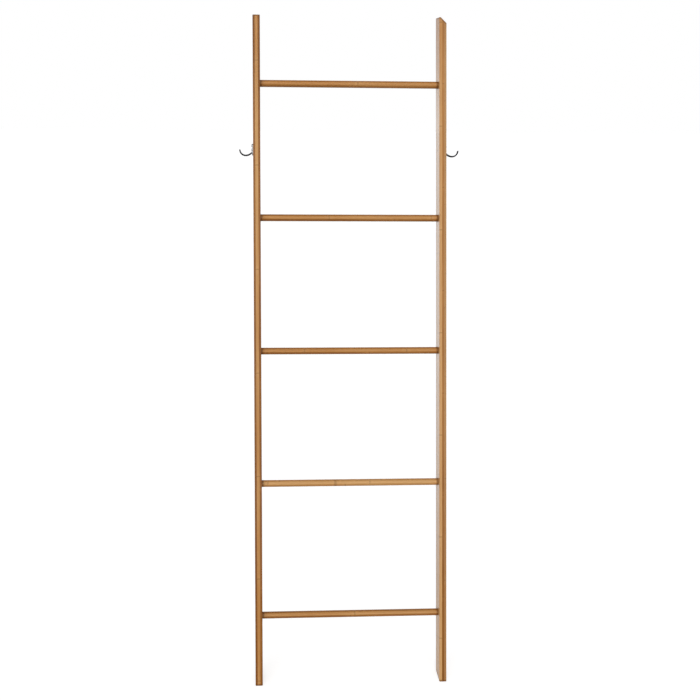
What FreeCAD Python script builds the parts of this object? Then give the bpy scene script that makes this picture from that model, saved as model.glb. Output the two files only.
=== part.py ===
import FreeCAD, Part
import enum
import math
import os
import Sketcher

# Blanket ladder: two rails that lean back against a wall, five round rungs seated in blind
# sockets of the rails and held by a screw at each end, and a J hook on the outer face of
# each rail, under the top rung.
#
# Every piece is drawn in the ladder's own frame before the lean: X runs across the ladder,
# to the right for someone who faces it, Y from its front to its back, and Z up along the
# rails. Y is 0 at the middle of the rails' depth and Z is 0 at the front edge of the feet.
# The stance leans the whole ladder back, sets its feet on the floor and centres it.

RUNG_COUNT = 5
RIGHT = 1
LEFT = -1
SIDE_NAMES = {LEFT: "left", RIGHT: "right"}

# Turns about Z, in degrees, that point a piece's own X away from the ladder or into it.
OUTWARDS = {LEFT: 180, RIGHT: 0}
INWARDS = {LEFT: 0, RIGHT: 180}

# Millimetres, and degrees for the lean.
DRIVING_SIZES = (
    ("lean_angle", 15, "lean of the ladder from upright"),
    ("rail_length", 1750, "front edge of a rail, from foot to top"),
    ("rail_depth", 50, "rail, front face to back face"),
    ("rail_thickness", 19, "rail, inner face to outer face"),
    ("rail_edge_radius", 2, "round on a rail's long edges and foot"),
    ("top_edge_radius", 1.5, "round on a rail's top edges"),
    ("bevel_inset", 3.5, "flat left beside the inner face above the right rail's bevel"),
    ("bevel_drop", 15, "length of that bevel down the outer face"),
    ("clear_width", 468, "inner face to inner face"),
    ("top_margin", 170, "top of a rail's front edge to the centre of the top rung"),
    ("bottom_margin", 180, "centre of the lowest rung to the foot of a rail's front edge"),
    ("rung_diameter", 18, "rung"),
    ("rung_end_chamfer", 1, "chamfer on a rung's ends"),
    ("seat_depth", 8, "rung socket in a rail"),
    ("seat_clearance", 0.1, "radial room round a rung in its socket"),
    ("seat_end_gap", 0.2, "room between a rung's end and the bottom of its socket"),
    ("seat_chamfer", 1, "chamfer at the mouth of a rung socket"),
    ("rung_screw_diameter", 6, "shank of a rung screw"),
    ("rung_screw_length", 50, "rung screw, over its countersunk head"),
    ("rung_screw_head_diameter", 12, "countersunk head"),
    ("rung_screw_head_rim", 0.6, "straight rim above the head's cone"),
    ("rung_screw_recess", 0.4, "depth of the head below the rail's outer face"),
    ("rung_screw_point", 4, "length of the screw's point"),
    ("rung_screw_bore_spare", 3, "rung bore beyond the screw's point"),
    ("socket_across_flats", 4, "hexagon socket in the rung screw's head"),
    ("socket_depth", 2.2, "depth of that socket"),
    ("screw_clearance", 0.1, "radial room round every screw"),
    ("hook_below_rung", 172.5, "centre of the top rung to the middle of a hook's plate"),
    ("hook_plate_height", 30, "hook's back plate"),
    ("hook_plate_width", 13, "hook's back plate"),
    ("hook_plate_thickness", 2.5, "hook's back plate"),
    ("hook_plate_corner_radius", 5.5, "corners of the back plate"),
    ("hook_plate_edge_radius", 0.8, "round on the plate's outer edges"),
    ("hook_arm_thickness", 3.4, "hook's arm, seen from the front of the ladder"),
    ("hook_arm_width", 8, "hook's arm, from front to back"),
    ("hook_reach", 19.5, "rail's outer face to the lowest point of the arm"),
    ("hook_drop", 15, "middle of the plate down to the lowest point of the arm"),
    ("hook_root_bend", 21.5, "bend radius from the plate to the lowest point"),
    ("hook_tip_bend", 15.2, "bend radius from the lowest point up to the tip"),
    ("hook_root_cover", 0.2, "plate left behind the root of the arm"),
    ("hook_tip_radius", 1.2, "round on the tip"),
    ("hook_screw_rise", 10.5, "middle of the plate up to the upper hook screw"),
    ("hook_screw_spacing", 10.5, "upper hook screw down to the lower one"),
    ("hook_screw_diameter", 3.5, "shank of a hook screw"),
    ("hook_screw_length", 16, "hook screw under its pan head"),
    ("hook_screw_head_diameter", 6.8, "pan head"),
    ("hook_screw_head_height", 2.2, "pan head"),
    ("hook_screw_head_round", 1.5, "round on the rim of the pan head"),
    ("hook_screw_point", 4, "length of the screw's point"),
    ("hook_screw_pilot_spare", 1, "pilot hole beyond the screw's point"),
    ("cross_length", 3.8, "cross recess in the pan head, end to end"),
    ("cross_slot", 0.9, "cross recess, width of a slot"),
    ("cross_depth", 1.1, "cross recess, depth"),
)

DERIVED_SIZES = (
    ("lean_sine", "sin(lean_angle * 1 deg)", "sine of the lean"),
    ("end_rise", "rail_depth * tan(lean_angle * 1 deg)", "rise of a rail's end cuts from front to back"),
    ("half_depth", "rail_depth / 2", "middle of the depth to a face"),
    ("rail_back_top", "rail_length + end_rise", "height of a rail's back top edge"),
    ("bevel_width", "rail_thickness - bevel_inset", "width of the bevel across the top"),
    ("half_clear_width", "clear_width / 2", "middle of the ladder to an inner face"),
    ("outer_face", "half_clear_width + rail_thickness", "middle of the ladder to an outer face"),
    ("top_rung_height", "rail_length - top_margin", "height of the top rung"),
    ("rung_pitch", f"(top_rung_height - bottom_margin) / {RUNG_COUNT - 1}", "centre to centre of the rungs"),
    ("rung_radius", "rung_diameter / 2", "rung"),
    ("rung_face_radius", "rung_radius - rung_end_chamfer", "end face of a rung"),
    ("rung_half_length", "half_clear_width + seat_depth - seat_end_gap", "middle to end of a rung"),
    ("rung_half_straight", "rung_half_length - rung_end_chamfer", "middle of a rung to its chamfer"),
    ("seat_radius", "rung_radius + seat_clearance", "rung socket"),
    ("seat_mouth_radius", "seat_radius + seat_chamfer", "mouth of a rung socket"),
    ("shank_radius", "rung_screw_diameter / 2", "rung screw"),
    ("shank_bore_radius", "shank_radius + screw_clearance", "bore for a rung screw"),
    ("head_radius", "rung_screw_head_diameter / 2", "head of a rung screw"),
    ("head_bore_radius", "head_radius + screw_clearance", "countersink at the rail's face"),
    ("head_length", "rung_screw_head_rim + head_radius - shank_radius", "rung screw's head"),
    ("point_start", "rung_screw_length - rung_screw_point", "head to the point of a rung screw"),
    ("point_radius", "shank_radius / 2", "blunt end of a rung screw"),
    ("head_top", "rail_thickness - rung_screw_recess", "inner face to a rung screw's head"),
    ("head_rim_end", "head_top - rung_screw_head_rim", "inner face to the wide end of the countersink"),
    ("head_cone_end", "head_top - head_length", "inner face to the narrow end of the countersink"),
    ("screw_end", "half_clear_width + head_top - rung_screw_length", "middle to a rung screw's point"),
    ("rung_bore_end", "screw_end - rung_screw_bore_spare", "middle of a rung to the bottom of its bore"),
    ("socket_half_flats", "socket_across_flats / 2", "hexagon socket"),
    ("socket_corner", "socket_half_flats / cos(30 deg)", "hexagon socket"),
    ("socket_half_side", "socket_corner / 2", "hexagon socket"),
    ("screw_head_place", "half_clear_width + head_top", "middle of the ladder to a rung screw's head"),
    ("hook_height", "top_rung_height - hook_below_rung", "height of a hook's plate"),
    ("hook_plate_face", "outer_face + hook_plate_thickness", "middle of the ladder to a plate's face"),
    ("plate_half_height", "hook_plate_height / 2", "hook's back plate"),
    ("plate_half_width", "hook_plate_width / 2", "hook's back plate"),
    ("arm_half_thickness", "hook_arm_thickness / 2", "hook's arm"),
    ("arm_half_flat", "hook_arm_width / 2 - arm_half_thickness", "flat side of the arm's section"),
    ("arm_root", "(hook_arm_thickness * hook_reach + 2 * hook_root_bend * hook_root_cover)"
     " / (2 * hook_root_bend + hook_arm_thickness)", "outer face to the arm's end inside the plate"),
    ("arm_root_centre", "hook_root_bend - hook_drop", "height of the root bend's centre"),
    ("arm_tip", "hook_reach + hook_tip_bend", "outer face to the tip"),
    ("arm_tip_height", "hook_tip_bend - hook_drop", "height of the tip over the plate's middle"),
    ("hook_screw_low", "hook_screw_rise - hook_screw_spacing", "height of the lower hook screw"),
    ("upper_screw_height", "hook_height + hook_screw_rise", "height of the upper hook screws"),
    ("lower_screw_height", "hook_height + hook_screw_low", "height of the lower hook screws"),
    ("hook_shank_radius", "hook_screw_diameter / 2", "hook screw"),
    ("hook_bore_radius", "hook_shank_radius + screw_clearance", "hole for a hook screw"),
    ("hook_head_radius", "hook_screw_head_diameter / 2", "hook screw"),
    ("hook_point_start", "hook_screw_length - hook_screw_point", "hook screw's head to its point"),
    ("hook_point_radius", "hook_shank_radius / 4", "end of a hook screw"),
    ("pilot_depth", "hook_screw_length - hook_plate_thickness + hook_screw_pilot_spare",
     "pilot hole in a rail"),
    ("cross_half_length", "cross_length / 2", "cross recess"),
    ("cross_half_slot", "cross_slot / 2", "cross recess"),
    ("stance", "create(<<placement>>; create(<<vector>>; 0; -rail_back_top * lean_sine / 2;"
     " -half_depth * lean_sine); create(<<rotation>>; create(<<vector>>; 1; 0; 0); -lean_angle))",
     "leans the ladder back and stands it on the floor"),
)

RUNG_HEIGHTS = tuple(
    (f"rung_height_{number}", f"top_rung_height - {number - 1} * rung_pitch", "rung, from the top")
    for number in range(1, RUNG_COUNT + 1)
)

ACROSS = FreeCAD.Vector(1, 0, 0)
UP = FreeCAD.Vector(0, 0, 1)

# A sketch's own normal, in the sketch's coordinates.
OUT_OF_SKETCH = FreeCAD.Vector(0, 0, 1)

# Degrees from straight up that take in a rail's top and its bevel, but none of its sides.
STEEPEST_TOP = 75

document = FreeCAD.newDocument("blanket_ladder")
sizes = document.addObject("Spreadsheet::Sheet", "sizes")


class Spot(enum.IntEnum):
    """Sketcher's numbers for the points of a curve."""
    START = 1
    END = 2
    CENTRE = 3


class Axis(enum.IntEnum):
    """Sketcher's numbers for a sketch's own origin and axes."""
    ORIGIN = -1
    HORIZONTAL = -1
    VERTICAL = -2


def fill_sheet():
    """Write the driving sizes as numbers and the derived ones as formulas, each with its alias."""
    rows = [(alias, str(number), note) for alias, number, note in DRIVING_SIZES]
    rows += [(alias, "=" + rule, note) for alias, rule, note in DERIVED_SIZES + RUNG_HEIGHTS]
    for row, (alias, content, note) in enumerate(rows, start=1):
        sizes.set(f"A{row}", note)
        sizes.set(f"B{row}", content)
        sizes.setAlias(f"B{row}", alias)
    document.recompute()


def measure(term):
    """The value of a term: a sheet alias, the same with a minus sign, or 0."""
    if term == "0":
        return 0.0
    value = float(getattr(sizes, term.lstrip("-")))
    return -value if term.startswith("-") else value


def formula(term):
    """The expression that binds a property to a term."""
    return term.replace("-", "-sizes.") if term.startswith("-") else "sizes." + term


def to_side(side, term):
    """A term that points outwards on the given side of the ladder."""
    return term if side == RIGHT or term == "0" else "-" + term


def bind(feature, **terms):
    """Bind properties of a feature to terms of the sheet."""
    for name, term in terms.items():
        feature.setExpression(name, formula(term))


def place(body, across="0", height="0", turn=0):
    """Set a piece in the ladder's frame, turned about Z, and lean it with the ladder."""
    where = "; ".join(term if term == "0" else formula(term) for term in (across, "0", height))
    turned = f"create(<<rotation>>; create(<<vector>>; 0; 0; 1); {turn})"
    own_place = f"create(<<placement>>; create(<<vector>>; {where}); {turned})"
    body.setExpression("Placement", f"sizes.stance * {own_place}")


def new_body(name):
    """Start a piece of the ladder."""
    body = document.addObject("PartDesign::Body", name)
    body.Label = name
    return body


def new_sketch(body, name, plane, offset=None):
    """Start a sketch on one of the body's own planes, or lifted off it by a term."""
    sketch = body.newObject("Sketcher::SketchObject", name)
    planes = [feature for feature in body.Origin.OriginFeatures if feature.Role == plane]
    sketch.AttachmentSupport = [(planes[0], "")]
    sketch.MapMode = "FlatFace"
    if offset:
        bind(sketch, **{".AttachmentOffset.Base.z": offset})
    return sketch


def hold(sketch, element, point, across, up):
    """Hold a point of a sketch at two terms from the sketch's origin."""
    for kind, term, axis in (("DistanceX", across, Axis.VERTICAL), ("DistanceY", up, Axis.HORIZONTAL)):
        if term == "0":
            sketch.addConstraint(Sketcher.Constraint("PointOnObject", element, point, axis))
        else:
            hold_along(sketch, kind, element, point, term)


def hold_along(sketch, kind, element, point, term):
    """Hold a point of a sketch at a term from the origin, along one axis."""
    rule = Sketcher.Constraint(kind, Axis.ORIGIN, Spot.START, element, point, measure(term))
    number = sketch.addConstraint(rule)
    sketch.setExpression(f"Constraints[{number}]", formula(term))


def join(sketch, curve, following, kind="Coincident"):
    """Join a curve's end to the start of the one that follows it."""
    sketch.addConstraint(Sketcher.Constraint(kind, curve, Spot.END, following, Spot.START))


def draw_outline(sketch, corners):
    """Draw a closed outline of straight lines through corners given as pairs of terms."""
    first = sketch.GeometryCount
    count = len(corners)
    points = [FreeCAD.Vector(measure(across), measure(up), 0) for across, up in corners]
    for index, point in enumerate(points):
        sketch.addGeometry(Part.LineSegment(point, points[(index + 1) % count]), False)
    for index, (across, up) in enumerate(corners):
        join(sketch, first + index, first + (index + 1) % count)
        hold(sketch, first + index, Spot.START, across, up)


def draw_circle(sketch, across, up, radius):
    """Draw a circle whose centre and radius are terms."""
    centre = FreeCAD.Vector(measure(across), measure(up), 0)
    circle = sketch.addGeometry(Part.Circle(centre, OUT_OF_SKETCH, measure(radius)), False)
    hold(sketch, circle, Spot.CENTRE, across, up)
    number = sketch.addConstraint(Sketcher.Constraint("Radius", circle, measure(radius)))
    sketch.setExpression(f"Constraints[{number}]", formula(radius))


def add_feature(body, kind, name, profile, **terms):
    """Add a PartDesign feature made from a sketch, with its sizes bound to terms."""
    feature = body.newObject("PartDesign::" + kind, name)
    feature.Profile = profile
    bind(feature, **terms)
    document.recompute()
    return feature


def turn_about_x(body, kind, name, profile):
    """Turn a profile drawn on the XZ plane about the sketch's horizontal axis."""
    feature = body.newObject("PartDesign::" + kind, name)
    feature.Profile = profile
    feature.ReferenceAxis = (profile, ["H_Axis"])
    document.recompute()
    return feature


def dress_edges(body, kind, name, edges, **terms):
    """Fillet or chamfer those edges of the body's last feature."""
    base = body.Tip
    numbers = [number for number, edge in enumerate(base.Shape.Edges, start=1)
               if any(edge.isSame(wanted) for wanted in edges)]
    feature = body.newObject("PartDesign::" + kind, name)
    feature.Base = (base, [f"Edge{number}" for number in numbers])
    bind(feature, **terms)
    document.recompute()
    return feature


def flat_faces(shape, direction, within=45):
    """The flat faces of a shape that look a direction's way, within an angle in degrees."""
    flats = [face for face in shape.Faces if isinstance(face.Surface, Part.Plane)]
    limit = math.radians(within)
    return [face for face in flats if face.normalAt(0, 0).getAngle(direction) < limit]


def edges_along(shape, direction):
    """The straight edges of a shape that run along a direction."""
    straight = [edge for edge in shape.Edges if isinstance(edge.Curve, Part.Line)]
    parallel = 0.999
    return [edge for edge in straight if abs(edge.Curve.Direction.dot(direction)) > parallel]


def edges_of(faces):
    return [edge for face in faces for edge in face.Edges]


def rail_blank(body, side):
    """The board of a rail, its ends cut to the lean so that they are level in use."""
    outline = new_sketch(body, body.Name + "_outline", "YZ_Plane")
    draw_outline(outline, (
        ("-half_depth", "0"),
        ("half_depth", "end_rise"),
        ("half_depth", "rail_back_top"),
        ("-half_depth", "rail_length"),
    ))
    board = add_feature(body, "Pad", body.Name + "_board", outline, Length="rail_thickness")
    board.Reversed = side == LEFT
    document.recompute()


def bevel_top(body, side):
    """The bevel from beside the inner face down to the outer face, at a rail's top."""
    shape = body.Tip.Shape
    top = flat_faces(shape, UP)
    outside = flat_faces(shape, ACROSS * side)
    shared = [edge for edge in edges_of(top) if any(edge.isSame(other) for other in edges_of(outside))]
    bevel = dress_edges(body, "Chamfer", body.Name + "_bevel", shared)
    bevel.ChamferType = "Two distances"
    bind(bevel, Size="bevel_width", Size2="bevel_drop")
    document.recompute()


def round_edges(body):
    """Round the long edges and the foot, then the top with a smaller radius."""
    shape = body.Tip.Shape
    rounded = edges_along(shape, UP) + edges_of(flat_faces(shape, -UP))
    dress_edges(body, "Fillet", body.Name + "_edges", rounded, Radius="rail_edge_radius")
    top = flat_faces(body.Tip.Shape, UP, STEEPEST_TOP)
    dress_edges(body, "Fillet", body.Name + "_top_edges", edges_of(top), Radius="top_edge_radius")


def rung_seats(body, side):
    """The rung sockets, each with the stepped bore and countersink of its screw behind it."""
    profile = new_sketch(body, body.Name + "_seat", "XZ_Plane")
    bind(profile, **{".AttachmentOffset.Base.y": "top_rung_height"})
    draw_outline(profile, tuple((to_side(side, outwards), radius) for outwards, radius in (
        ("0", "0"),
        ("0", "seat_mouth_radius"),
        ("seat_chamfer", "seat_radius"),
        ("seat_depth", "seat_radius"),
        ("seat_depth", "shank_bore_radius"),
        ("head_cone_end", "shank_bore_radius"),
        ("head_rim_end", "head_bore_radius"),
        ("rail_thickness", "head_bore_radius"),
        ("rail_thickness", "0"),
    )))
    seat = turn_about_x(body, "Groove", body.Name + "_top_seat", profile)
    row = body.newObject("PartDesign::LinearPattern", body.Name + "_seats")
    row.Originals = [seat]
    row.Direction = (profile, ["V_Axis"])
    row.Reversed = True
    row.Mode = "Spacing"
    row.Occurrences = RUNG_COUNT
    bind(row, Offset="rung_pitch")
    body.Tip = row
    document.recompute()


def hook_pilots(body, side):
    """The pilot holes of the hook's two screws, from the outer face."""
    holes = new_sketch(body, body.Name + "_pilot", "YZ_Plane", to_side(side, "rail_thickness"))
    bind(holes, **{".AttachmentOffset.Base.y": "hook_height"})
    for height in ("hook_screw_rise", "hook_screw_low"):
        draw_circle(holes, "0", height, "hook_bore_radius")
    pilots = add_feature(body, "Pocket", body.Name + "_pilots", holes, Length="pilot_depth")
    pilots.Reversed = side == LEFT
    document.recompute()


def make_rail(side):
    """A rail, drawn from its inner face outwards. Only the right one has the bevelled top."""
    body = new_body("rail_" + SIDE_NAMES[side])
    rail_blank(body, side)
    if side == RIGHT:
        bevel_top(body, side)
    round_edges(body)
    rung_seats(body, side)
    hook_pilots(body, side)
    place(body, across=to_side(side, "half_clear_width"))
    return body


def make_rung(number):
    """A turned rung with chamfered ends and a bore for the screw at each end."""
    body = new_body(f"rung_{number}")
    profile = new_sketch(body, body.Name + "_profile", "XZ_Plane")
    half = (
        ("rung_bore_end", "0"),
        ("rung_bore_end", "shank_bore_radius"),
        ("rung_half_length", "shank_bore_radius"),
        ("rung_half_length", "rung_face_radius"),
        ("rung_half_straight", "rung_radius"),
    )
    mirrored = tuple(("-" + across, radius) for across, radius in reversed(half))
    draw_outline(profile, half + mirrored)
    turn_about_x(body, "Revolution", body.Name + "_turned", profile)
    return body


def make_rung_screw(side, number):
    """A countersunk screw with a hexagon socket. It points along X from the top of its head."""
    body = new_body(f"rung_screw_{SIDE_NAMES[side]}_{number}")
    profile = new_sketch(body, body.Name + "_profile", "XZ_Plane")
    draw_outline(profile, (
        ("0", "0"),
        ("0", "head_radius"),
        ("rung_screw_head_rim", "head_radius"),
        ("head_length", "shank_radius"),
        ("point_start", "shank_radius"),
        ("rung_screw_length", "point_radius"),
        ("rung_screw_length", "0"),
    ))
    turn_about_x(body, "Revolution", body.Name + "_turned", profile)
    hexagon = new_sketch(body, body.Name + "_hexagon", "YZ_Plane")
    draw_outline(hexagon, (
        ("socket_corner", "0"),
        ("socket_half_side", "socket_half_flats"),
        ("-socket_half_side", "socket_half_flats"),
        ("-socket_corner", "0"),
        ("-socket_half_side", "-socket_half_flats"),
        ("socket_half_side", "-socket_half_flats"),
    ))
    socket = add_feature(body, "Pocket", body.Name + "_socket", hexagon, Length="socket_depth")
    socket.Reversed = True
    document.recompute()
    return body


def hook_plate(body):
    """The hook's back plate, with rounded corners and a softened outer rim."""
    outline = new_sketch(body, body.Name + "_plate_outline", "YZ_Plane")
    draw_outline(outline, (
        ("-plate_half_width", "-plate_half_height"),
        ("plate_half_width", "-plate_half_height"),
        ("plate_half_width", "plate_half_height"),
        ("-plate_half_width", "plate_half_height"),
    ))
    plate = add_feature(body, "Pad", body.Name + "_plate", outline, Length="hook_plate_thickness")
    corners = edges_along(plate.Shape, ACROSS)
    dress_edges(body, "Fillet", body.Name + "_corners", corners, Radius="hook_plate_corner_radius")
    front = flat_faces(body.Tip.Shape, ACROSS)
    dress_edges(body, "Fillet", body.Name + "_rim", edges_of(front), Radius="hook_plate_edge_radius")


def draw_arc(sketch, centre_up, radius, start_angle, end_angle):
    """An arc of the arm's bends, about a centre over the arm's lowest point."""
    centre = FreeCAD.Vector(measure("hook_reach"), measure(centre_up), 0)
    circle = Part.Circle(centre, OUT_OF_SKETCH, measure(radius))
    arc = sketch.addGeometry(Part.ArcOfCircle(circle, start_angle, end_angle), False)
    hold(sketch, arc, Spot.CENTRE, "hook_reach", centre_up)
    return arc


def hook_arm(body):
    """The J of the hook: an oval bar swept from its tip round two tangent bends to the plate."""
    spine = new_sketch(body, body.Name + "_spine", "XZ_Plane")
    lowest = -math.pi / 2
    towards_plate = -math.pi * 3 / 4
    tip_bend = draw_arc(spine, "arm_tip_height", "hook_tip_bend", lowest, 0)
    root_bend = draw_arc(spine, "arm_root_centre", "hook_root_bend", towards_plate, lowest)
    hold(spine, tip_bend, Spot.END, "arm_tip", "arm_tip_height")
    join(spine, root_bend, tip_bend)
    spine.addConstraint(Sketcher.Constraint("Vertical", root_bend, Spot.CENTRE, root_bend, Spot.END))
    hold_along(spine, "DistanceX", root_bend, Spot.START, "arm_root")
    section = new_sketch(body, body.Name + "_section", "XY_Plane", "arm_tip_height")
    bind(section, **{".AttachmentOffset.Base.x": "arm_tip"})
    draw_oval(section)
    arm = body.newObject("PartDesign::AdditivePipe", body.Name + "_arm")
    arm.Profile = section
    arm.Spine = (spine, [])
    document.recompute()


def draw_oval(sketch):
    """The arm's section: two flats along the sketch's vertical joined by half circles."""
    radius = measure("arm_half_thickness")
    flat = measure("arm_half_flat")
    right = sketch.addGeometry(
        Part.LineSegment(FreeCAD.Vector(radius, -flat, 0), FreeCAD.Vector(radius, flat, 0)), False)
    back_circle = Part.Circle(FreeCAD.Vector(0, flat, 0), OUT_OF_SKETCH, radius)
    back = sketch.addGeometry(Part.ArcOfCircle(back_circle, 0, math.pi), False)
    left = sketch.addGeometry(
        Part.LineSegment(FreeCAD.Vector(-radius, flat, 0), FreeCAD.Vector(-radius, -flat, 0)), False)
    front_circle = Part.Circle(FreeCAD.Vector(0, -flat, 0), OUT_OF_SKETCH, radius)
    front = sketch.addGeometry(Part.ArcOfCircle(front_circle, math.pi, 2 * math.pi), False)
    for curve, following in ((right, back), (back, left), (left, front), (front, right)):
        join(sketch, curve, following, "Tangent")
    hold(sketch, back, Spot.CENTRE, "0", "arm_half_flat")
    hold(sketch, front, Spot.CENTRE, "0", "-arm_half_flat")
    number = sketch.addConstraint(Sketcher.Constraint("Radius", back, radius))
    sketch.setExpression(f"Constraints[{number}]", formula("arm_half_thickness"))


def make_hook(side):
    """A hook: back plate, J arm with a rounded tip, and two screw holes over the arm."""
    body = new_body("hook_" + SIDE_NAMES[side])
    hook_plate(body)
    hook_arm(body)
    tips = flat_faces(body.Tip.Shape, UP)
    tip = max(tips, key=lambda face: face.CenterOfMass.x)
    dress_edges(body, "Fillet", body.Name + "_tip", tip.Edges, Radius="hook_tip_radius")
    holes = new_sketch(body, body.Name + "_hole", "YZ_Plane")
    for height in ("hook_screw_rise", "hook_screw_low"):
        draw_circle(holes, "0", height, "hook_bore_radius")
    drilled = add_feature(body, "Pocket", body.Name + "_holes", holes, Length="hook_plate_thickness")
    drilled.Reversed = True
    document.recompute()
    return body


def make_hook_screw(side, level):
    """A pan-head screw with a cross recess. It points along X from the underside of its head."""
    body = new_body(f"hook_screw_{SIDE_NAMES[side]}_{level}")
    profile = new_sketch(body, body.Name + "_profile", "XZ_Plane")
    draw_outline(profile, (
        ("-hook_screw_head_height", "0"),
        ("-hook_screw_head_height", "hook_head_radius"),
        ("0", "hook_head_radius"),
        ("0", "hook_shank_radius"),
        ("hook_point_start", "hook_shank_radius"),
        ("hook_screw_length", "hook_point_radius"),
        ("hook_screw_length", "0"),
    ))
    turned = turn_about_x(body, "Revolution", body.Name + "_turned", profile)
    head = min(flat_faces(turned.Shape, -ACROSS), key=lambda face: face.CenterOfMass.x)
    dress_edges(body, "Fillet", body.Name + "_dome", head.Edges, Radius="hook_screw_head_round")
    cross = new_sketch(body, body.Name + "_cross", "YZ_Plane", "-hook_screw_head_height")
    draw_outline(cross, (
        ("cross_half_length", "-cross_half_slot"),
        ("cross_half_length", "cross_half_slot"),
        ("cross_half_slot", "cross_half_slot"),
        ("cross_half_slot", "cross_half_length"),
        ("-cross_half_slot", "cross_half_length"),
        ("-cross_half_slot", "cross_half_slot"),
        ("-cross_half_length", "cross_half_slot"),
        ("-cross_half_length", "-cross_half_slot"),
        ("-cross_half_slot", "-cross_half_slot"),
        ("-cross_half_slot", "-cross_half_length"),
        ("cross_half_slot", "-cross_half_length"),
        ("cross_half_slot", "-cross_half_slot"),
    ))
    recess = add_feature(body, "Pocket", body.Name + "_recess", cross, Length="cross_depth")
    recess.Reversed = True
    document.recompute()
    return body


def check_document():
    """Stop if any object failed or any piece isn't one valid solid."""
    for item in document.Objects:
        if "Invalid" in item.State or "Error" in item.State:
            raise RuntimeError(f"{item.Name} failed: {item.State}")
    for body in pieces:
        if body.Shape.isNull() or not body.Shape.isValid() or len(body.Shape.Solids) != 1:
            raise RuntimeError(f"{body.Label} isn't one valid solid")


fill_sheet()
pieces = [make_rail(side) for side in (LEFT, RIGHT)]

for number in range(1, RUNG_COUNT + 1):
    rung = make_rung(number)
    place(rung, height=f"rung_height_{number}")
    pieces.append(rung)

for side in (LEFT, RIGHT):
    for number in range(1, RUNG_COUNT + 1):
        screw = make_rung_screw(side, number)
        place(screw, to_side(side, "screw_head_place"), f"rung_height_{number}", INWARDS[side])
        pieces.append(screw)
    hook = make_hook(side)
    place(hook, to_side(side, "outer_face"), "hook_height", OUTWARDS[side])
    pieces.append(hook)
    for level in ("upper", "lower"):
        screw = make_hook_screw(side, level)
        place(screw, to_side(side, "hook_plate_face"), f"{level}_screw_height", INWARDS[side])
        pieces.append(screw)

document.recompute()
check_document()
os.makedirs("parts", exist_ok=True)
for piece in pieces:
    piece.Shape.exportStep(f"parts/{piece.Label}.step")
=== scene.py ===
import math

import bpy
from mathutils import Matrix, Vector

# A bamboo ladder that leans on a wall. Its rails, rungs, hooks and screws are the frame's own
# nodes, and this script gives them their finishes, a floor, light and a camera.
#
# Lengths in the finishes are millimetres in the ladder's own frame before its lean: X across
# the ladder, Y from front to back with 0 at the middle of the rails' depth, and Z up along the
# rails from the front edge of their feet.

LEAN = math.radians(15)
HALF_CLEAR_WIDTH = 234
RAIL_THICKNESS = 19
RAIL_DEPTH = 50
RAIL_LENGTH = 1750
TOP_RUNG_HEIGHT = 1580
RUNG_PITCH = 350
RUNG_CORE = 8

# The right rail's bevel: the flat beside it, and its length down the outer face.
BEVEL_INSET = 3.5
BEVEL_DROP = 15

# Up to the first of these lengths from a rail a metal has its near tone, and from the second
# on it has its own. On the hooks that paler near tone is a painted reflection on the plates.
NEAR_RAIL = (2.4, 6)

# Millimetres in a metre.
MM = 1000

# The way outwards along X. It is also the number that tells one rail's strips from the
# other's, as RUNG_STRIPS tells the rungs' strips from both.
SIDES = {"left": -1, "right": 1}
RUNG_STRIPS = 3

RUNG_NUMBERS = range(1, 6)
SCREW_LEVELS = ("upper", "lower")

# Bamboo under a clear lacquer, from its palest strips to its darkest.
BAMBOO_SHADES = (
    (0.00, (0.590, 0.332, 0.130)),
    (0.25, (0.510, 0.265, 0.092)),
    (0.50, (0.440, 0.195, 0.052)),
    (1.00, (0.210, 0.070, 0.006)),
)

# The brown of knots, glue lines and end grain, which also serves as painted shade at the
# rails' feet and the rungs' ends, and how strongly each takes it.
KNOT_AND_SHADE_BROWN = (0.130, 0.045, 0.008)
KNOT_STAIN = 0.35
SEAM_STAIN = 0.35
RAIL_END_STAIN_AND_SHADE = 0.65
RUNG_END_PAINTED_SHADE = 0.6

# The glued layers of a rail, from its inner face to its outer face: thickness and darkness.
RAIL_LAYERS = {
    "left": ((5.8, 0.94), (7.8, 0.24), (5.4, 0.96)),
    "right": ((7.2, 0.20), (5.6, 0.80), (6.2, 0.20)),
}

# How much darker the outer two layers are at the foot than at the top, and how much darker
# every layer gets from a height to the top.
LOWER_SHADE = {"left": 0.3, "right": 0.55}
SHADED_ABOVE = 1450
UPPER_SHADE = 0.3

# A rail's strips, the shift of one layer's strips against the next, the glue between them,
# and how deep it lies where a knot lies 1 deep.
STRIP_WIDTH = 21
STRIP_STAGGER = 8.5
GLUE_LINE = 0.12
GLUE_DEPTH = 0.5

# How dark the core of each rung is, from the top one down, and how much darker its other
# layers are: partly the glued layers, partly painted shade on the rungs' tops and undersides.
RUNG_SHADES = (0.42, 0.46, 0.42, 0.02, 0.38)
RUNG_LAYER_AND_SHADE_CONTRAST = 0.34

# How many degrees the top rung's layers are turned about the rung, and how many more from
# each rung to the next one down.
TOP_RUNG_TURN = -4
RUNG_TURN_STEP = 6

# Where the painted shade of a rung's joint with each rail starts, and where it is full.
RUNG_END_FADE = (HALF_CLEAR_WIDTH - 6.5, HALF_CLEAR_WIDTH - 2.5)

# Rungs with a knot right round them, its place across the ladder, and its half width: brown
# in full, then fading.
KNOTS_ROUND_RUNGS = {4: -40}
ROUND_KNOT_FADE = (1.5, 5.5)

# How much lacquer shows: little on narrow edges and rungs, and all of it on the rails' sides
# between two heights. From there it wears thin down to the foot and up to the top.
EDGE_GLOSS = 0.12
FOOT_GLOSS = 0.35
TOP_GLOSS = 0.28
WORN_BELOW = 1000
WORN_ABOVE = 1400

# Each metal's tone, its tone near the rail (on the hooks a painted reflection that lightens the
# plates), how much of its surroundings it mirrors where it turns out of sight, and its roughness.
METALS = {
    "hook_steel": ((0.024, 0.024, 0.026), (0.220, 0.220, 0.225), 0.2, 0.40),
    "screw_steel": ((0.36, 0.36, 0.37), (0.30, 0.30, 0.31), 1.0, 0.30),
}

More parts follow.
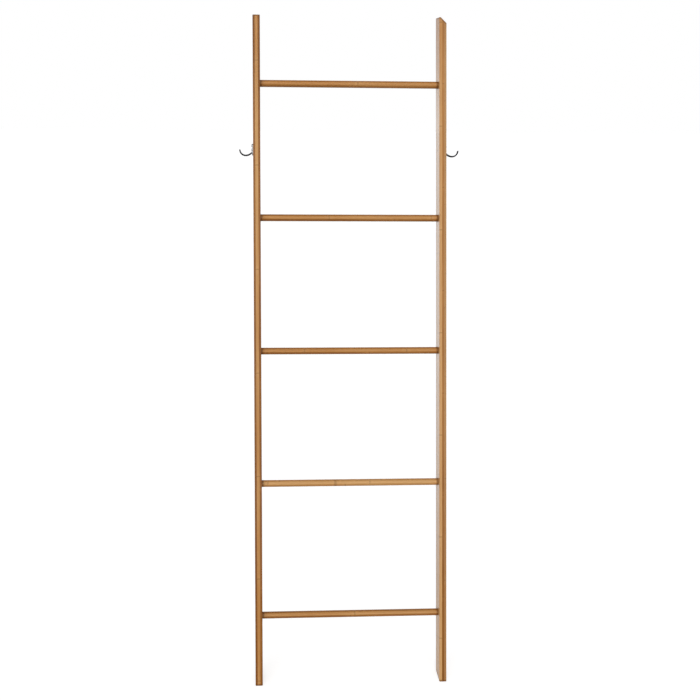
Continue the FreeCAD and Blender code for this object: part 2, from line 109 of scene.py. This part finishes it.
# The light: white surroundings, a broad lamp in front, and weaker, broader ones at the left
# and behind. Each lamp has the direction that it shines from, its spread in degrees and its
# strength.
AMBIENT = 0.20
LAMPS = {
    "front_lamp": ((-0.15, -1.0, 0.28), 80, 3.0),
    "side_lamp": ((-1.0, -0.1, 0.30), 110, 0.4),
    "back_lamp": ((0.40, 1.0, 0.50), 130, 0.5),
}

# The floor: its width in metres, the share of light that it returns, and how bright its open
# parts look, a little over white.
FLOOR_SIZE = 60
FLOOR_REFLECTANCE = 0.55
FLOOR_SHOWN = 1.01

# The photograph's viewing angle: a place in metres, turns in degrees, and a lens in
# millimetres on a sensor 36 mm wide.
CAMERA_PLACE = (-0.2340, -2.2764, 1.5134)
CAMERA_TURNS = (73.678, -0.553, -2.817)
CAMERA_LENS = 46.292
CAMERA_SHIFT = 0.0625


class Value:
    """A socket that carries a number, a colour or a direction, with arithmetic for numbers."""

    def __init__(self, finish, socket):
        self.finish = finish
        self.socket = socket

    def maths(self, operation, *terms):
        """What a Math node makes of one or two numbers."""
        settings = {"operation": operation}
        return self.finish.node("ShaderNodeMath", settings, dict(enumerate(terms)))

    def __add__(self, other):
        return self.maths("ADD", self, other)

    def __radd__(self, other):
        return self.maths("ADD", other, self)

    def __sub__(self, other):
        return self.maths("SUBTRACT", self, other)

    def __rsub__(self, other):
        return self.maths("SUBTRACT", other, self)

    def __mul__(self, other):
        return self.maths("MULTIPLY", self, other)

    def __rmul__(self, other):
        return self.maths("MULTIPLY", other, self)

    def __truediv__(self, other):
        return self.maths("DIVIDE", self, other)

    def __rtruediv__(self, other):
        return self.maths("DIVIDE", other, self)

    def __abs__(self):
        return self.maths("ABSOLUTE", self)

    def floor(self):
        return self.maths("FLOOR", self)

    def fraction(self):
        return self.maths("FRACT", self)

    def or_less(self, other):
        return self.maths("MINIMUM", self, other)

    def or_more(self, other):
        return self.maths("MAXIMUM", self, other)

    def above(self, limit):
        """1 where the number is over a limit, and 0 elsewhere."""
        return self.maths("GREATER_THAN", self, limit)

    def rise(self, low, high):
        """0 up to low and 1 from high on, with a soft step."""
        settings = {"interpolation_type": "SMOOTHSTEP"}
        sockets = {"Value": self, "From Min": low, "From Max": high, "To Min": 0, "To Max": 1}
        return self.finish.node("ShaderNodeMapRange", settings, sockets)


class Finish:
    """A material, or the world's surroundings, being built."""

    def __init__(self, tree):
        self.tree = tree
        tree.nodes.clear()

    def node(self, kind, settings=None, sockets=None, output=None):
        """Add a node, set it up, then fill its sockets with values or links."""
        node = self.tree.nodes.new(kind)
        for name, setting in (settings or {}).items():
            if name == "stops":
                set_stops(node.color_ramp, setting)
            else:
                setattr(node, name, setting)
        for name, content in (sockets or {}).items():
            socket = find_socket(node.inputs, name)
            if isinstance(content, Value):
                self.tree.links.new(content.socket, socket)
            else:
                socket.default_value = content
        return Value(self, find_socket(node.outputs, output)) if node.outputs else None

    def combine(self, across, deep, along):
        """A place or direction from its three numbers."""
        return self.node("ShaderNodeCombineXYZ", None, {"X": across, "Y": deep, "Z": along})

    def mix(self, amount, first, second):
        """Blend two colours."""
        sockets = {"Factor": amount, "A": first, "B": second}
        return self.node("ShaderNodeMix", {"data_type": "RGBA"}, sockets)

    def noise(self, place, scale, detail=4, roughness=0.6):
        """Noise from 0 to 1. Its scale is in cells to a millimetre."""
        sockets = {"Vector": place, "Scale": scale, "Detail": detail, "Roughness": roughness}
        return self.node("ShaderNodeTexNoise", None, sockets)

    def chance(self, place):
        """A number from 0 to 1 that is the same wherever place is the same."""
        return self.node("ShaderNodeTexWhiteNoise", None, {"Vector": place}, "Value")

    def bump(self, height, depth):
        """A bump of that many millimetres."""
        return self.node("ShaderNodeBump", None, {"Height": height, "Distance": depth / MM})

    def finish_with(self, shader, kind="ShaderNodeOutputMaterial"):
        """End with the shader that is seen."""
        self.node(kind, None, {"Surface": shader})


def find_socket(sockets, name):
    """A socket by its place or name, or the first one in use."""
    if isinstance(name, int):
        return sockets[name]
    in_use = [socket for socket in sockets if socket.enabled]
    return next(socket for socket in in_use if name in (None, socket.name))


def set_stops(ramp, stops):
    """Give a colour ramp its stops: positions and shades."""
    while len(ramp.elements) < len(stops):
        ramp.elements.new(1)
    for element, (position, shade) in zip(ramp.elements, stops):
        element.position = position
        element.color = colour(shade)


def colour(rgb):
    """A colour as a socket or a ramp's stop takes it, with its alpha."""
    return (*rgb, 1)


def new_material(name):
    """A new material and the finish that fills it."""
    material = bpy.data.materials.new(name)
    material.use_nodes = True
    return material, Finish(material.node_tree)


def origin_in_ladder():
    """The frame's origin in the ladder's own frame.

    It lies on the floor, under the point halfway from the front edges of the feet to the back
    edges of the tops.
    """
    half_run = (RAIL_LENGTH + RAIL_DEPTH * math.tan(LEAN)) * math.sin(LEAN) / 2
    floor_height = RAIL_DEPTH * math.sin(LEAN) / 2
    return Matrix.Rotation(LEAN, 3, "X") @ Vector((0, half_run, floor_height))


def ladder_place(finish):
    """X, Y and Z in the ladder's own frame."""
    coordinates = finish.node("ShaderNodeTexCoord", None, None, "Object")
    upright = finish.node("ShaderNodeMapping", None, {
        "Vector": coordinates,
        "Location": origin_in_ladder(),
        "Rotation": (LEAN, 0, 0),
        "Scale": (MM, MM, MM),
    })
    parts = {"Vector": upright}
    return [finish.node("ShaderNodeSeparateXYZ", None, parts, axis) for axis in "XYZ"]


def stain_and_shade(finish, base, amount):
    """Brown a colour by an amount, for real stains and for painted shade alike."""
    return finish.mix(amount, base, colour(KNOT_AND_SHADE_BROWN))


class Bamboo:
    """Strips of split cane: fibres along each strip, and a knot wherever the cane had a joint."""

    joint_spacing = 270
    joint_waviness = 5

    # From a joint: where its knot starts to fade and where it is gone, and the same for the
    # paler swelling round it.
    knot_fade = (0.5, 2.6)
    swelling_fade = (3, 16)

    # Lengths along the cane are multiplied by these before its patterns are drawn.
    fibre_stretch = 0.016
    bundle_stretch = 0.06
    drift_stretch = 0.2

    # The noise at which a dark bundle of fibres starts, and at which it is full.
    bundle_start = (0.60, 0.72)

    # What each strip's own number is multiplied by, so that no two have the same knots.
    wave_shuffle = 50
    joint_shuffle = 7

    # How much each pattern adds to the darkness.
    own_shade = 0.18
    broad_shade = 0.7
    fine_shade = 0.4
    drift_shade = 0.35
    bundle_shade = 0.16
    swelling_shade = -0.08

    # How much the fibres and bundles rise or sink, where a knot sinks by 1.
    fine_height = 0.6
    broad_height = 0.4
    bundle_height = -0.3

    def __init__(self, finish, across, deep, along, strip, darkness):
        own = finish.chance(strip)
        fibre_place = finish.combine(across, deep, along * self.fibre_stretch)
        broad = finish.noise(fibre_place, scale=0.35, detail=3)
        self.fine = finish.noise(fibre_place, scale=2.2, detail=4, roughness=0.7)
        drift_place = finish.combine(across, deep, along * self.drift_stretch)
        drift = finish.noise(drift_place, scale=0.02, detail=2)
        bundle_place = finish.combine(across, deep, along * self.bundle_stretch)
        bundles = finish.noise(bundle_place, scale=1.5, detail=2).rise(*self.bundle_start)

        wave_place = finish.combine(across, deep, own * self.wave_shuffle)
        wave = (finish.noise(wave_place, scale=0.25, detail=2) - 0.5) * self.joint_waviness
        joints_past = (along + wave) / self.joint_spacing + own * self.joint_shuffle
        joint = abs(joints_past.fraction() - 0.5) * self.joint_spacing
        knot = 1 - joint.rise(*self.knot_fade)
        swelling = 1 - joint.rise(*self.swelling_fade)

        shade = darkness + (own - 0.5) * self.own_shade + (broad - 0.5) * self.broad_shade
        shade = shade + (self.fine - 0.5) * self.fine_shade + (drift - 0.5) * self.drift_shade
        shade = shade + bundles * self.bundle_shade + swelling * self.swelling_shade
        stops = {"stops": BAMBOO_SHADES}
        wood = finish.node("ShaderNodeValToRGB", stops, {"Fac": shade}, "Color")
        self.base = stain_and_shade(finish, wood, knot * KNOT_STAIN)
        fibres = self.fine * self.fine_height + broad * self.broad_height
        self.height = fibres + bundles * self.bundle_height - knot


def lacquer(finish, base, height, fine, gloss):
    """A clear satin lacquer over wood. It lies flatter than the grain that it fills."""
    roughness = 0.42
    roughness_range = 0.3
    return finish.node("ShaderNodeBsdfPrincipled", None, {
        "Base Color": base,
        "Roughness": roughness + (fine - 0.5) * roughness_range,
        "Specular IOR Level": 0.1,
        "Coat Weight": gloss,
        "Coat Roughness": 0.09,
        "Coat IOR": 1.5,
        "Normal": finish.bump(height, depth=0.04),
    })


def rail_layers(side, through, along):
    """Which layer of a rail a place is in, how dark the cane is, and how far the glue is."""
    (inner, inner_shade), (core, core_shade), (_, outer_shade) = RAIL_LAYERS[side]
    past_inner = through.above(inner)
    past_core = through.above(inner + core)
    core_change = past_inner * (core_shade - inner_shade)
    outer_change = past_core * (outer_shade - core_shade)
    lower_change = (0.5 - along / RAIL_LENGTH) * past_inner * LOWER_SHADE[side]
    upper_change = along.rise(SHADED_ABOVE, RAIL_LENGTH) * UPPER_SHADE
    darkness = inner_shade + core_change + outer_change + lower_change + upper_change
    to_glue = abs(through - inner).or_less(abs(through - inner - core))
    return past_inner + past_core, darkness, to_glue


def near_cut(side, through, deep, along):
    """1 at a rail's cut ends and bevel, and 0 from a few millimetres off.

    Distances from the foot count for less than they are, so the foot darkens further up. That
    is painted shade of its rounded edge and of where it stands on the floor, over end grain.
    """
    fade = (2, 5)
    foot_share = 0.6
    over_foot = along - (deep + RAIL_DEPTH / 2) * math.tan(LEAN)
    under_top = RAIL_LENGTH - over_foot
    if side == "right":
        fall = BEVEL_DROP / (RAIL_THICKNESS - BEVEL_INSET)
        under_bevel = under_top - (through - BEVEL_INSET) * fall
        under_top = under_top.or_less(under_bevel / math.hypot(1, fall))
    return 1 - (over_foot * foot_share).or_less(under_top).rise(*fade)


def rail_gloss(finish, along, cut):
    """How much lacquer shows on a rail. Its sides are told from its edges by their facing."""
    edge_to_side = (0.3, 0.9)
    facing = finish.node("ShaderNodeNewGeometry", None, None, "Normal")
    sideways = abs(finish.node("ShaderNodeSeparateXYZ", None, {"Vector": facing}, "X"))
    kept_low = FOOT_GLOSS + along.rise(0, WORN_BELOW) * (1 - FOOT_GLOSS)
    kept = kept_low - along.rise(WORN_ABOVE, RAIL_LENGTH) * (1 - TOP_GLOSS)
    return EDGE_GLOSS + sideways.rise(*edge_to_side) * kept * (1 - EDGE_GLOSS) * (1 - cut)


def rail_finish(side):
    """A board of three glued layers, each made of strips laid side by side."""
    material, finish = new_material("rail_" + side + "_bamboo")
    across, deep, along = ladder_place(finish)
    through = across * SIDES[side] - HALF_CLEAR_WIDTH
    layer, darkness, to_glue = rail_layers(side, through, along)
    strip_place = (deep + RAIL_DEPTH + layer * STRIP_STAGGER) / STRIP_WIDTH
    strip = finish.combine(layer, strip_place.floor(), SIDES[side])
    cane = Bamboo(finish, across, deep, along, strip, darkness)

    to_strip_edge = abs((strip_place + 0.5).fraction() - 0.5) * STRIP_WIDTH
    seam = 1 - to_glue.or_less(to_strip_edge).rise(0, GLUE_LINE)
    cut = near_cut(side, through, deep, along)
    base = stain_and_shade(finish, cane.base, seam * SEAM_STAIN)
    # The ends' end grain is darker, and at the foot this also paints shade.
    base = stain_and_shade(finish, base, cut * RAIL_END_STAIN_AND_SHADE)
    gloss = rail_gloss(finish, along, cut)
    finish.finish_with(lacquer(finish, base, cane.height - seam * GLUE_DEPTH, cane.fine, gloss))
    return material


def rung_finish(number):
    """A bar of three glued layers; its darker outer bands are also painted shade on top and bottom.
    """
    turn = math.radians(TOP_RUNG_TURN + RUNG_TURN_STEP * (number - 1))
    material, finish = new_material(f"rung_{number}_bamboo")
    across, deep, along = ladder_place(finish)
    height = along - TOP_RUNG_HEIGHT + RUNG_PITCH * (number - 1)
    through = height * math.cos(turn) + deep * math.sin(turn)
    past_core = abs(through).above(RUNG_CORE / 2)
    strip = finish.combine(past_core * (1 + through.above(0)), number, RUNG_STRIPS)
    # Painted shade: the outer layers above and below the core are darker.
    darkness = RUNG_SHADES[number - 1] + past_core * RUNG_LAYER_AND_SHADE_CONTRAST
    cane = Bamboo(finish, deep, height, across, strip, darkness)

    # Painted shade where each rung meets a rail, darkening its ends.
    end_shade_and_knot = abs(across).rise(*RUNG_END_FADE) * RUNG_END_PAINTED_SHADE
    if number in KNOTS_ROUND_RUNGS:
        knot = 1 - abs(across - KNOTS_ROUND_RUNGS[number]).rise(*ROUND_KNOT_FADE)
        end_shade_and_knot = end_shade_and_knot + knot * KNOT_STAIN
    base = stain_and_shade(finish, cane.base, end_shade_and_knot)
    finish.finish_with(lacquer(finish, base, cane.height, cane.fine, EDGE_GLOSS))
    return material


def metal_finish(name, tone, near_tone, edge_tone, roughness):
    """Metal with polishing marks, and a tone near the rail: on the hooks a painted reflection."""
    cloudiness = 0.5
    roughness_range = 0.2
    material, finish = new_material(name)
    across, deep, along = ladder_place(finish)
    place = finish.combine(across, deep, along)
    marks = finish.noise(place, scale=6, detail=4)
    clouds = finish.noise(place, scale=0.4, detail=3)
    from_rail = abs(across) - HALF_CLEAR_WIDTH - RAIL_THICKNESS
    blend = from_rail.rise(*NEAR_RAIL) + (clouds - 0.5) * cloudiness
    shader = finish.node("ShaderNodeBsdfPrincipled", None, {
        # On the hooks the paler tone near the rail is a painted reflection on the plates.
        "Base Color": finish.mix(blend, colour(near_tone), colour(tone)),
        "Metallic": 1.0,
        "Specular Tint": colour([edge_tone] * 3),
        "Roughness": roughness + (marks - 0.5) * roughness_range,
        "Normal": finish.bump(marks, depth=0.01),
    })
    finish.finish_with(shader)
    return material


def dress(node, material):
    """Give a node of the frame its finish."""
    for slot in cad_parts[node].material_slots:
        slot.material = material


def dress_ladder():
    """Give every node of the ladder its finish."""
    metals = {name: metal_finish(name, *look) for name, look in METALS.items()}
    for side in SIDES:
        dress(f"rail_{side}", rail_finish(side))
        dress(f"hook_{side}", metals["hook_steel"])
        for level in SCREW_LEVELS:
            dress(f"hook_screw_{side}_{level}", metals["screw_steel"])
        for number in RUNG_NUMBERS:
            dress(f"rung_screw_{side}_{number}", metals["screw_steel"])
    for number in RUNG_NUMBERS:
        dress(f"rung_{number}", rung_finish(number))


def seen_directly(finish):
    """1 for rays that show the surroundings: from the camera, off gloss or through glass."""
    camera, gloss, glass = [
        finish.node("ShaderNodeLightPath", None, None, name)
        for name in ("Is Camera Ray", "Is Glossy Ray", "Is Transmission Ray")]
    return camera.or_more(gloss).or_more(glass)


def floor_light():
    """How brightly the surroundings and the lamps light an open floor."""
    downwards = [strength * Vector(source).normalized().z for source, _, strength in LAMPS.values()]
    return AMBIENT + sum(downwards) / math.pi


def lay_floor():
    """A pale floor that looks white where no shadow falls on it."""
    bpy.ops.mesh.primitive_plane_add(size=FLOOR_SIZE)
    floor = bpy.context.object
    floor.name = "floor"
    material, finish = new_material("floor_white")
    reflectance = colour([FLOOR_REFLECTANCE] * 3)
    diffuse = finish.node("ShaderNodeBsdfDiffuse", None, {"Color": reflectance})
    missing = FLOOR_SHOWN - FLOOR_REFLECTANCE * floor_light()
    glow = finish.node("ShaderNodeEmission", None, {
        "Color": colour((1, 1, 1)),
        "Strength": seen_directly(finish) * missing,
    })
    finish.finish_with(finish.node("ShaderNodeAddShader", None, {0: diffuse, 1: glow}))
    floor.data.materials.append(material)


def light_world():
    """White surroundings that light the ladder softly from all round."""
    world = bpy.data.worlds.new("studio")
    bpy.context.scene.world = world
    world.use_nodes = True
    finish = Finish(world.node_tree)
    background = finish.node("ShaderNodeBackground", None, {
        "Color": colour((1, 1, 1)),
        "Strength": AMBIENT + seen_directly(finish) * (1 - AMBIENT),
    })
    finish.finish_with(background, "ShaderNodeOutputWorld")


def add_lamp(name, source, spread, strength):
    """A broad, soft lamp far away that shines from a direction."""
    lamp = bpy.data.lights.new(name, "SUN")
    lamp.angle = math.radians(spread)
    lamp.energy = strength
    stand = bpy.data.objects.new(name, lamp)
    stand.rotation_euler = Vector(source).to_track_quat("Z", "Y").to_euler()
    bpy.context.collection.objects.link(stand)


def place_camera():
    """A camera at the photograph's viewing angle."""
    camera = bpy.data.cameras.new("camera")
    camera.sensor_width = 36
    camera.lens = CAMERA_LENS
    camera.shift_x = CAMERA_SHIFT
    camera.clip_end = 100
    stand = bpy.data.objects.new("camera", camera)
    stand.location = CAMERA_PLACE
    stand.rotation_euler = [math.radians(angle) for angle in CAMERA_TURNS]
    bpy.context.collection.objects.link(stand)
    bpy.context.scene.camera = stand


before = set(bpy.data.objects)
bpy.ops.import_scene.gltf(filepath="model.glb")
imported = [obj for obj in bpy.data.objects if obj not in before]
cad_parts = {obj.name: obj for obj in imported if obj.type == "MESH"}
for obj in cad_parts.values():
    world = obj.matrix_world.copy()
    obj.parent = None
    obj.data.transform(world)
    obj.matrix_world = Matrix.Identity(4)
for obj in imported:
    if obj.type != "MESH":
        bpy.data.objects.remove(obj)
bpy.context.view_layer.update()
dress_ladder()
lay_floor()
light_world()
for lamp_name, settings in LAMPS.items():
    add_lamp(lamp_name, *settings)
place_camera()
bpy.context.scene.view_settings.view_transform = "Standard"
